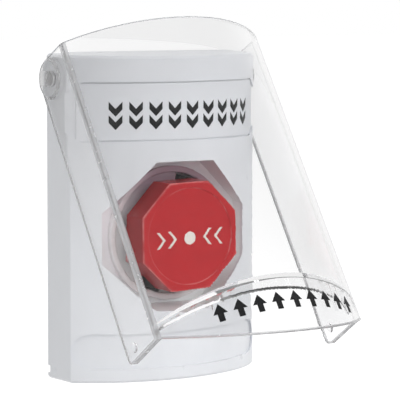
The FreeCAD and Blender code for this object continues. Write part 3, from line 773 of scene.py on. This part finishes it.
def head_surface():
    """Rings from the middle of the face, over the edge and back inside. Each has a radius, a Y and
    a share w of octagon: radius x ((1 - w) + w x octagon(angle))."""
    b = settings().button
    inner, floor, dished = b.flats - b.wall, b.face + b.face_thick, b.face + b.dish_depth
    slope = 0.0003  # from the dish's floor out to its edge
    corners = [
        (0, dished, 0), (b.dish, dished, 0), (b.dish + slope, b.face, 0), (b.flats, b.face, 1),
        (b.flats, b.rear, 1), (inner, b.rear, 1), (inner, floor, 1), (b.boss, floor, 0),
        (b.boss, b.boss_end, 0), (b.socket, b.boss_end, 0), (b.socket, b.socket_end, 0),
        (0, b.socket_end, 0),
    ]
    # How far each corner's rounding reaches
    reach = [0, 0.00016, 0.00012, b.rounding, 0.0003, 0.0002, 0.0004, 0.0006, 0.0003, 0.0002,
             0.0002, 0]
    small = 0.001  # scales the share while the line is eased, so that it hardly counts as a length
    radius, y, share_of = np.hsplit(eased(np.array(corners) * (1, 1, small), reach, 5), 3)
    share_of = share_of / small
    angle = button_angles()[None, :]
    r = radius * ((1 - share_of) + share_of * octagon_radius(angle, b.corner / b.flats))
    return tube(around_y(r, y, angle + b.turn, b.height))


def mark_edge_highlight(head):
    """Marks the rounding round the face and the dish's edge for the painted highlight:
    1 - |2 d / s - 1| at a depth d behind the face, where s is the depth of each."""
    b = settings().button
    points = np.empty((len(head.data.vertices), 3))
    head.data.vertices.foreach_get("co", points.reshape(-1))
    past_dish = b.dish + 0.001
    outside = np.hypot(points[:, 0], points[:, 2] - b.height) > past_dish
    depth = np.where(outside, b.rounding, b.dish_depth)
    deep = 1 - np.abs(2 * (points[:, 1] - b.face) / depth - 1)
    edge_highlight = head.data.attributes.new("edge_wear", "FLOAT", "POINT")
    edge_highlight.data.foreach_set("value", np.clip(deep, 0, 1))


class STATION_OT_button(bpy.types.Operator):
    """Make the octagonal push button"""

    bl_idname = "push_station.button"
    bl_label = "Push Button"

    def execute(self, context):
        head = add_piece(
            "button_cap", head_surface(), ["button_red"], "button", "button_head")
        mark_edge_highlight(head)
        even_normals(head)
        return {"FINISHED"}


def on_dish(u, v, y):
    """Points on the button's dish: u runs across and v up, both turned with the octagon."""
    b = settings().button
    cos, sin = math.cos(b.turn), math.sin(b.turn)
    return spread(u * cos - v * sin, y, b.height + b.mark_rise + u * sin + v * cos)


def disc_grid(radius):
    """Grid of a disc without a seam: radius (s sqrt(1 - t^2 / 2), t sqrt(1 - s^2 / 2)) for s and t
    from -1 to 1."""
    s, t = np.linspace(-1, 1, 17)[None, :], np.linspace(-1, 1, 17)[:, None]
    return radius * s * np.sqrt(1 - t ** 2 / 2), radius * t * np.sqrt(1 - s ** 2 / 2)


class STATION_OT_button_mark(bpy.types.Operator):
    """Print chevrons that point from both sides at a dot in the middle of the button's face"""

    bl_idname = "push_station.button_mark"
    bl_label = "Button Mark"

    def execute(self, context):
        b, ink = settings().button, settings().housing.ink
        y = b.face + b.dish_depth
        across, up = chevron(b.mark_half, b.mark_reach, b.mark_thick)
        grids = [disc_grid(b.mark_dot)]
        for side in (-1, 1):
            for place in (b.mark_near, b.mark_near + b.mark_step):
                grids.append((side * (place + up), side * across))
        marks = joined([slab(on_dish(u, v, y - ink), on_dish(u, v, y + ink)) for u, v in grids])
        add_piece("button_mark", marks, ["ink_cream"], "button")
        return {"FINISHED"}


def collar_surface():
    """Rings of the guard ring's section, whose radius is at least the lip's. The lip's edge falls
    back to the ring's inside within an angle of each of two lugs."""
    b = settings().button
    inner = b.ring - b.ring_thick
    middle = (inner + b.ring) / 2
    low, high = b.lip_front + b.lip_thick, b.lip_front
    corners = [
        (middle, b.ring_back), (b.ring, b.ring_back), (b.ring, b.ring_front),
        (inner, b.ring_front), (inner, high), (b.lip, high), (b.lip, low), (inner, low),
        (inner, b.ring_back), (middle, b.ring_back),
    ]
    edge, outer, inside = 0.0001, 0.0006, 0.0011  # how far the roundings reach
    line = eased(corners, [0, edge, outer, inside, 2 * edge, edge, edge, edge, edge, 0], 6)
    a = np.linspace(0, 2 * np.pi, settings().fineness, endpoint=False)[None, :]
    off = np.abs(np.mod(a - b.lug_turn + np.pi / 2, np.pi) - np.pi / 2)
    sunk = 0.00002  # keeps the cut-back edge inside the ring
    least = np.where(off < b.lug_angle, inner - sunk, b.lip)
    return tube(around_y(np.maximum(line[:, :1], least), line[:, 1:], a, b.height))


class STATION_OT_ring(bpy.types.Operator):
    """Make the glossy guard ring at the bottom of the recess"""

    bl_idname = "push_station.ring"
    bl_label = "Guard Ring"

    def execute(self, context):
        add_piece(
            "guard_collar", collar_surface(), ["ring_gloss"], "station", "guard_ring")
        return {"FINISHED"}


def coil_surface():
    """Round wire along a helix. The middle line is (R cos a, y(a), R sin a), y moves slowest at
    both ends so that the end turns lie flat, and the wire's circle is carried square to the line
    and shrinks to a point at the ends."""
    b = settings().button
    half = b.wire / 2
    start, end = b.coil_front + half, b.coil_back - half
    steps_a_turn = 40
    a = np.linspace(0, 2 * np.pi * b.turns, int(steps_a_turn * b.turns))
    t = a / a[-1]
    flat_share, least_pitch = 0.09, 0.02
    pitch = np.clip(np.minimum(t, 1 - t) / flat_share, least_pitch, 1)
    travel = np.concatenate([[0], np.cumsum((pitch[1:] + pitch[:-1]) / 2)])
    line = around_y(b.coil, start + (end - start) * travel / travel[-1], a, b.height)
    along = np.gradient(line, axis=0)
    along /= np.linalg.norm(along, axis=1, keepdims=True)
    outward = around_y(1, 0, a, 0)
    side = np.cross(along, outward)
    ends = ((1, 1), (0, 0))
    line, outward, side = [np.pad(way, ends, "edge")[:, None] for way in (line, outward, side)]
    size = np.pad(np.full(len(a), half), 1)[:, None, None]
    w = np.linspace(0, 2 * np.pi, 12, endpoint=False)[None, :, None]
    return tube(line + size * (np.cos(w) * outward + np.sin(w) * side))


class STATION_OT_works(bpy.types.Operator):
    """Make the return spring and finish the parts behind the button"""

    bl_idname = "push_station.works"
    bl_label = "Works"

    def execute(self, context):
        coil = add_piece(
            "return_coil", coil_surface(), ["spring_steel"], "station", "return_spring")
        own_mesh(coil)
        dress("operator_barrel", "works_black", 0.0003)
        dress("locking_nut", "works_black", 0.00035)
        dress("cam_stem", "cam_white", 0.0002)
        dress("mounting_plate", "zinc_plate", 0.0002)
        for side in ("left", "right"):
            dress("switch_block_" + side, "works_black", 0.0003)
            dress("plunger_" + side, "cam_white", 0.0002)
            for level in ("lower_", "upper_"):
                dress("terminal_clamp_" + level + side, "terminal_brass", 0.00012)
                dress("terminal_screw_" + level + side, "zinc_plate", 0.00015)
        return {"FINISHED"}


class STATION_OT_pins(bpy.types.Operator):
    """Make the two hinge pins, each with a flat underneath"""

    bl_idname = "push_station.pins"
    bl_label = "Hinge Pins"

    def execute(self, context):
        h, c = settings().housing, settings().cover
        r, start, end, cut = h.pin_radius, h.pin_inner, h.pin_outer, h.pin_chamfer
        corners = [(0, start), (r, start), (r, end - cut), (r - cut, end), (0, end)]
        edge = 0.0001
        line = eased(corners, [0, edge, edge, edge, 0])
        for side, sign in (("left", -1), ("right", 1)):
            pin = turned_x(line, sign, c.pin_y, c.pin_z, 72, h.pin_flat)
            add_piece("pin_" + side, pin, ["pin_grey"], "station", "hinge_pin_" + side)
        return {"FINISHED"}


# The cover's finishes by number, and the points along its line, from above: each straight wall,
# the inside of each crease's curve, and the arch
SHEET, RIM = 0, 1
WALL_POINTS, CREASE_POINTS, ARCH_POINTS = 25, 8, 97
BACK_STRIPS = 4  # strips of each wall, from its back edge, that look like a rim


def cover_line(half, radius, reach):
    """The cover from above, from the back of the left wall to that of the right. The walls are
    straight and their points crowd toward the back, the front is the arc x = R sin a,
    y = centre - R cos a, and each crease is rounded by bend()."""
    c = settings().cover
    centre, span = arch_centre(), math.asin(half / radius)
    a = np.linspace(reach / radius - span, span - reach / radius, ARCH_POINTS)
    arc = spread(radius * np.sin(a), centre - radius * np.cos(a))
    corner = np.array([-half, centre - radius * math.cos(span)])
    crowd = 1 - np.cos(np.linspace(0, np.pi / 2, WALL_POINTS))
    wall = spread(-half, c.back + (corner[1] + reach - c.back) * crowd)
    t = np.linspace(0, 1, CREASE_POINTS + 2)[1:-1, None]
    left = np.concatenate([wall, bend(wall[-1], corner, arc[0], t)])
    return np.concatenate([left, arc, left[::-1] * (-1, 1)])


def arch_radius():
    """Outside radius of the cover's arch, from half its chord h and its rise b:
    (h^2 + b^2) / (2 b)."""
    c = settings().cover
    return (c.half ** 2 + c.bulge ** 2) / (2 * c.bulge)


def arch_centre():
    """Y of the arch's centre: one radius behind its foremost point."""
    c = settings().cover
    return c.crease - c.bulge + arch_radius()


def lower_edge(y):
    """Height of the cover's lower edge at a depth: level on the walls, rounded at the back, dipping
    in front of the crease."""
    c = settings().cover
    dip = c.lip_slope * np.maximum(c.crease - y, 0)
    into = np.clip(y - (c.back - c.corner), 0, c.corner)
    return c.bottom - dip + c.corner - np.sqrt(c.corner ** 2 - into ** 2)


def upper_edge(y):
    """Height of the cover's upper edge: an arc round the pin at the ear, a straight run to the
    crease, and a fall in front of it."""
    c = settings().cover
    ear = c.back - c.pin_y
    arc = c.pin_z + np.sqrt(np.maximum(ear ** 2 - np.clip(y - c.pin_y, 0, ear) ** 2, 0))
    share_of = np.clip((c.pin_y - y) / (c.pin_y - c.crease), 0, 1)
    run = c.pin_z + ear + share_of * (c.top - c.pin_z - ear)
    return np.where(y > c.pin_y, arc, run - c.top_slope * np.maximum(c.crease - y, 0))


def sheet_surface():
    """Closed sheet: points of the outer and the inner line are carried from the lower edge to the
    upper, z = low + t (high - low). Its borders, lowest and back strips and creases look like a
    rim."""
    c = settings().cover
    t = np.array([0, c.rim_share, 1])[:, None]
    grids = []
    for inward, reach in ((0, c.crease_outer), (c.wall, c.crease_inner)):
        x, y = cover_line(c.half - inward, arch_radius() - inward, reach).T
        low, high = lower_edge(y), upper_edge(y)
        grids.append(spread(x, y, low + t * (high - low)))
    looks = np.full((len(t) - 1, len(x) - 1), SHEET)
    looks[0] = RIM
    for strips in (looks, looks[:, ::-1]):
        strips[:, :BACK_STRIPS] = RIM
        strips[:, WALL_POINTS - 1:WALL_POINTS + CREASE_POINTS] = RIM
    near, border = looks.reshape(-1), 2 * sum(looks.shape)
    return *slab(*grids), np.r_[near, np.full(near.size, SHEET), np.full(border, RIM)]


def rib_surface():
    """Crescent plate inside the lip: x runs from wall to wall, v from the middle of the sheet to
    the free edge, and z rises toward the front."""
    c = settings().cover
    half, radius = c.half - c.wall / 2, arch_radius() - c.wall / 2
    x, v = np.linspace(-half, half, 121)[None, :], np.linspace(0, 1, 7)[:, None]
    near = arch_centre() - np.sqrt(radius ** 2 - x ** 2)
    far = np.minimum(c.rib_centre - np.sqrt(c.rib_radius ** 2 - x ** 2), c.rib_back)
    y = near + v * (far - near)
    low = spread(x, y, c.bottom + c.rib_start + c.rib_slope * (c.crease - y))
    return slab(low, low + (0, 0, c.rib_thick))


def bump_surface(sign):
    """Cap of a ball inside a wall: rings of radius sqrt(R^2 - d^2) at a distance d from the ball's
    middle."""
    c = settings().cover
    root = c.half - c.wall / 2
    x = np.linspace(c.bump_tip, root, 9)
    r = np.sqrt(np.maximum(c.bump_ball ** 2 - (c.bump_tip + c.bump_ball - x) ** 2, 0))
    return turned_x(np.stack([np.r_[r, 0], np.r_[x, root]], -1), sign, c.bump_y, c.bump_z)


def round_pin(sign, profile, looks):
    """Rings round a pin's middle line, and the look of each band between two rings."""
    c = settings().cover
    return *turned_x(profile, sign, c.pin_y, c.pin_z, ROUND), np.repeat(looks, ROUND)


def inside_wall():
    """X where the cutters start, a little inside the cover's walls."""
    return settings().cover.half - 1.5 * settings().cover.wall


def pad_surface(sign):
    """Round pad outside an ear: its side slopes from the wall to its flat face and looks like a
    rim."""
    c = settings().cover
    root, face = c.half - 0.4 * c.wall, c.half + c.pad_rise
    profile = [(0, root), (c.pad, root), (c.pad, c.half), (c.pad - c.pad_rise, face), (0, face)]
    return round_pin(sign, profile, [SHEET, SHEET, RIM, SHEET])


def pocket_surface(sign):
    """Cutter of the blind pocket that a pin turns in, from inside the wall outward. Its side looks
    like a rim."""
    c, start = settings().cover, inside_wall()
    profile = [(0, start), (c.seat, start), (c.seat, c.seat_end), (0, c.seat_end)]
    return round_pin(sign, profile, [SHEET, RIM, SHEET])


def groove_surface(sign):
    """Cutter of the groove that a pin slides in along: a box from the pin's middle out past the
    wall's back edge. What it cuts looks like a rim."""
    c, past = settings().cover, 0.02
    x = sign * np.array([inside_wall(), c.groove_end])[:, None]
    side = spread(x, c.pin_y + np.array([0.0, past])[None, :], c.pin_z - c.groove)
    return *slab(side, side + (0, 0, 2 * c.groove)), np.full(6, RIM)


def lifted(surface):
    """Turns points about the pins by the cover's lift, from shut to rest."""
    c = settings().cover
    cos, sin = math.cos(c.lift), math.sin(c.lift)
    points, *rest = surface
    x, y, z = (points - (0, c.pin_y, c.pin_z)).T
    return spread(x, c.pin_y + cos * y + sin * z, c.pin_z - sin * y + cos * z), *rest


class STATION_OT_cover(bpy.types.Operator):
    """Make the clear lifted cover with its rib, bumps, pads and pin pockets"""

    bl_idname = "push_station.cover"
    bl_label = "Clear Cover"

    def execute(self, context):
        cover = add_piece("clear_hood", lifted(sheet_surface()), ["clear_sheet", "clear_rim"],
                          "cover", "clear_cover")
        for sign in (-1, 1):
            carve(cover, lifted(bump_surface(sign)), "UNION")
            carve(cover, lifted(pad_surface(sign)), "UNION")
            carve(cover, pocket_surface(sign))
            carve(cover, groove_surface(sign))
        ease_edges(cover, settings().cover.edge, 3, finish=RIM)
        carve(cover, lifted(rib_surface()), "UNION")
        cover.data.set_sharp_from_angle(angle=SHARP_ABOVE)
        even_normals(cover)
        return {"FINISHED"}


def arrow(half, tall):
    """Grid of an upward arrow: v rises with t, and the half width is narrow up to the neck and then
    falls from full to nothing."""
    neck, narrow = 0.44, 0.42
    t = np.array([0, neck / 2, neck, neck, 0.63, 0.82, 1.0])[:, None]
    wide = half * np.array([narrow, narrow, narrow, 1.0, 0.667, 0.333, 0.0])[:, None]
    return wide * np.linspace(-1, 1, 9)[None, :], tall * t


class STATION_OT_cover_marks(bpy.types.Operator):
    """Print a row of upward arrows on the cover's lip"""

    bl_idname = "push_station.cover_marks"
    bl_label = "Cover Marks"

    def execute(self, context):
        c = settings().cover
        marks = printed_rows(
            arrow(c.arrow_half, c.arrow_tall), c.arrow_first, c.arrow_last, (c.arrow_low,),
            arch_radius(), arch_centre(), settings().housing.ink / 4)
        add_piece("cover_marks", lifted(marks), ["ink_black"], "cover")
        return {"FINISHED"}


# Studio

FLOOR_HALF = 6.0  # from the floor's middle to its edges
FLOOR_POINTS = 13  # along each side of the floor
FLOOR_GREY = (0.82, 0.82, 0.82)


def add_lamp(name, energy, size, place, target=(0, -0.02, 0)):
    """Large square lamp that faces a point."""
    lamp = bpy.data.lights.new(name, "AREA")
    lamp.shape, lamp.size, lamp.energy = "SQUARE", size, energy
    holder = bpy.data.objects.new(name, lamp)
    holder.location = place
    way = Vector(target) - Vector(place)
    holder.rotation_euler = way.to_track_quat("-Z", "Y").to_euler()
    bpy.context.scene.collection.objects.link(holder)


def backdrop_share(tree, direction, dim, full):
    """Level that gloss sees: it rises from a low one, at a Y of dim at the camera's side, to 1 at a
    Y of full."""
    y = add_node(tree, "SeparateXYZ", direction).outputs["Y"]
    smooth = (("interpolation_type", "SMOOTHSTEP"),)
    return ranged(tree, y, dim, full, settings().studio.gloss_front, modes=smooth)


def seen_through(tree):
    """Two switches. The first is 1 for the eye's own rays, also through clear sheet, and the second
    for rays off gloss, also those that then pass through clear sheet."""
    path = add_node(tree, "LightPath").outputs
    bounced = sum_of(tree, "ADD", path["Glossy Depth"], path["Diffuse Depth"])
    fresh = sum_of(tree, "SUBTRACT", 1.0, bounced)
    clear = sum_of(tree, "MULTIPLY", path["Is Transmission Ray"], fresh)
    direct = sum_of(tree, "ADD", path["Is Camera Ray"], clear)
    sharp = sum_of(tree, "ADD", path["Is Glossy Ray"], path["Is Transmission Ray"])
    lit = sum_of(tree, "ADD", direct, path["Diffuse Depth"])
    return direct, sum_of(tree, "SUBTRACT", sharp, lit)


def backdrop_light():
    """Even light all around. The eye and clear sheet see it as white, and gloss sees a dim camera
    side."""
    world = bpy.data.worlds.new("studio")
    world.use_nodes = True
    tree = world.node_tree
    direct, gloss = seen_through(tree)
    place = add_node(tree, "TexCoord").outputs["Generated"]
    gloss_level = backdrop_share(tree, place, dim=-0.35, full=0.45)
    levels = (settings().studio.sky, gloss_level, 1.0)
    even, graded, white = [
        add_node(tree, "Background", Color=WHITE, Strength=level).outputs["Background"]
        for level in levels]
    shown = mixed(tree, direct, mixed(tree, gloss, even, graded), white)
    feed(tree, tree.nodes["World Output"], Surface=shown)
    bpy.context.scene.world = world


def floor_finish():
    """Pale floor: matt and keeping the shadow, with a glow for the eye, and dim to gloss at the
    camera's side."""
    f = Finish("pale_floor", FLOOR_GREY, Roughness=0.8, Specular_IOR_Level=0.0)
    direct, gloss = seen_through(f.tree)
    levels = (sum_of(f.tree, "MULTIPLY", direct, settings().studio.floor_glow),
              backdrop_share(f.tree, f.place, dim=-0.7, full=-0.15))
    glow, graded = [
        add_node(f.tree, "Emission", Color=WHITE, Strength=level).outputs["Emission"]
        for level in levels]
    lit = add_node(f.tree, "AddShader", f.shader.outputs["BSDF"], glow).outputs["Shader"]
    f.show(mixed(f.tree, gloss, lit, graded))
    return f.material


class STATION_OT_stage(bpy.types.Operator):
    """Lay the pale floor, hang the lamps and set the camera"""

    bl_idname = "push_station.stage"
    bl_label = "Studio"

    def execute(self, context):
        s = settings().studio
        side = np.linspace(-FLOOR_HALF, FLOOR_HALF, FLOOR_POINTS)
        flat = spread(side[:, None], side[None, :], s.floor)
        faces = grid_faces(FLOOR_POINTS, FLOOR_POINTS)
        mesh = bpy.data.meshes.new("floor")
        mesh.from_pydata(flat.reshape(-1, 3).tolist(), [], faces.tolist())
        floor = bpy.data.objects.new("floor", mesh)
        mesh.materials.append(floor_finish())
        context.scene.collection.objects.link(floor)
        backdrop_light()
        add_lamp("key", s.key, 0.55, (0.62, -0.85, 0.5))
        add_lamp("fill", s.fill, 0.85, (-0.42, -1.0, 0.24))
        add_lamp("top", s.top, 0.5, (0.0, 0.05, 0.85))
        add_lamp("glint", s.glint, 0.3, (-0.18, -0.97, 0.69))
        add_camera(context)
        context.scene.view_settings.view_transform = "Standard"
        context.scene.cycles.max_bounces = 32
        context.scene.cycles.transmission_bounces = 32
        context.scene.cycles.glossy_bounces = 16
        return {"FINISHED"}


def add_camera(context):
    """Camera from its place and its turn, tilt and roll."""
    s = settings().studio
    turn_by, tilt, roll = s.camera_turn, s.camera_tilt, s.camera_roll
    level = math.cos(tilt)
    forward = Vector((math.sin(turn_by) * level, math.cos(turn_by) * level, -math.sin(tilt)))
    right = Vector((math.cos(turn_by), -math.sin(turn_by), 0))
    up = right.cross(forward)
    right, up = (right * math.cos(roll) + up * math.sin(roll),
                 up * math.cos(roll) - right * math.sin(roll))
    camera = bpy.data.cameras.new("view")
    camera.sensor_width, camera.lens = 36.0, s.lens
    camera.shift_x, camera.shift_y = 0.0024, 0.0009
    camera.clip_start, camera.clip_end = 0.01, 100.0
    holder = bpy.data.objects.new("view", camera)
    axes = Matrix((right, up, -forward)).transposed().to_4x4()
    holder.matrix_world = Matrix.Translation(s.camera_place) @ axes
    context.scene.collection.objects.link(holder)
    context.scene.camera = holder


# Panel and registration


class STATION_PT_panel(bpy.types.Panel):
    """Lists the station's pieces in the sidebar"""

    bl_idname = "STATION_PT_panel"
    bl_label = "Push Button"
    bl_space_type = "VIEW_3D"
    bl_region_type = "UI"
    bl_category = "Push Button"

    def draw(self, context):
        for operator in OPERATORS:
            self.layout.operator(operator.bl_idname)
        s = settings()
        self.layout.prop(s, "fineness")
        for group in (s.cover, s.button, s.housing, s.tints, s.studio):
            box = self.layout.box()
            for key in group.__annotations__:
                box.prop(group, key)


GROUPS = (CoverSizes, ButtonSizes, HousingSizes, StationTints, StudioSettings, StationSettings)
OPERATORS = (
    STATION_OT_housing, STATION_OT_label, STATION_OT_label_marks, STATION_OT_ring,
    STATION_OT_works, STATION_OT_button, STATION_OT_button_mark, STATION_OT_pins,
    STATION_OT_cover, STATION_OT_cover_marks, STATION_OT_stage,
)
CLASSES = GROUPS + OPERATORS + (STATION_PT_panel,)


def register():
    for cls in CLASSES:
        bpy.utils.register_class(cls)
    bpy.types.Scene.push_station = PointerProperty(
        type=StationSettings, name="Push Button Station", description="Values of the station")


def unregister():
    del bpy.types.Scene.push_station
    for cls in reversed(CLASSES):
        bpy.utils.unregister_class(cls)


def main():
    register()
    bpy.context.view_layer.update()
    for operator in OPERATORS:
        group, name = operator.bl_idname.split(".")
        getattr(getattr(bpy.ops, group), name)()


if __name__ == "__main__":
    main()
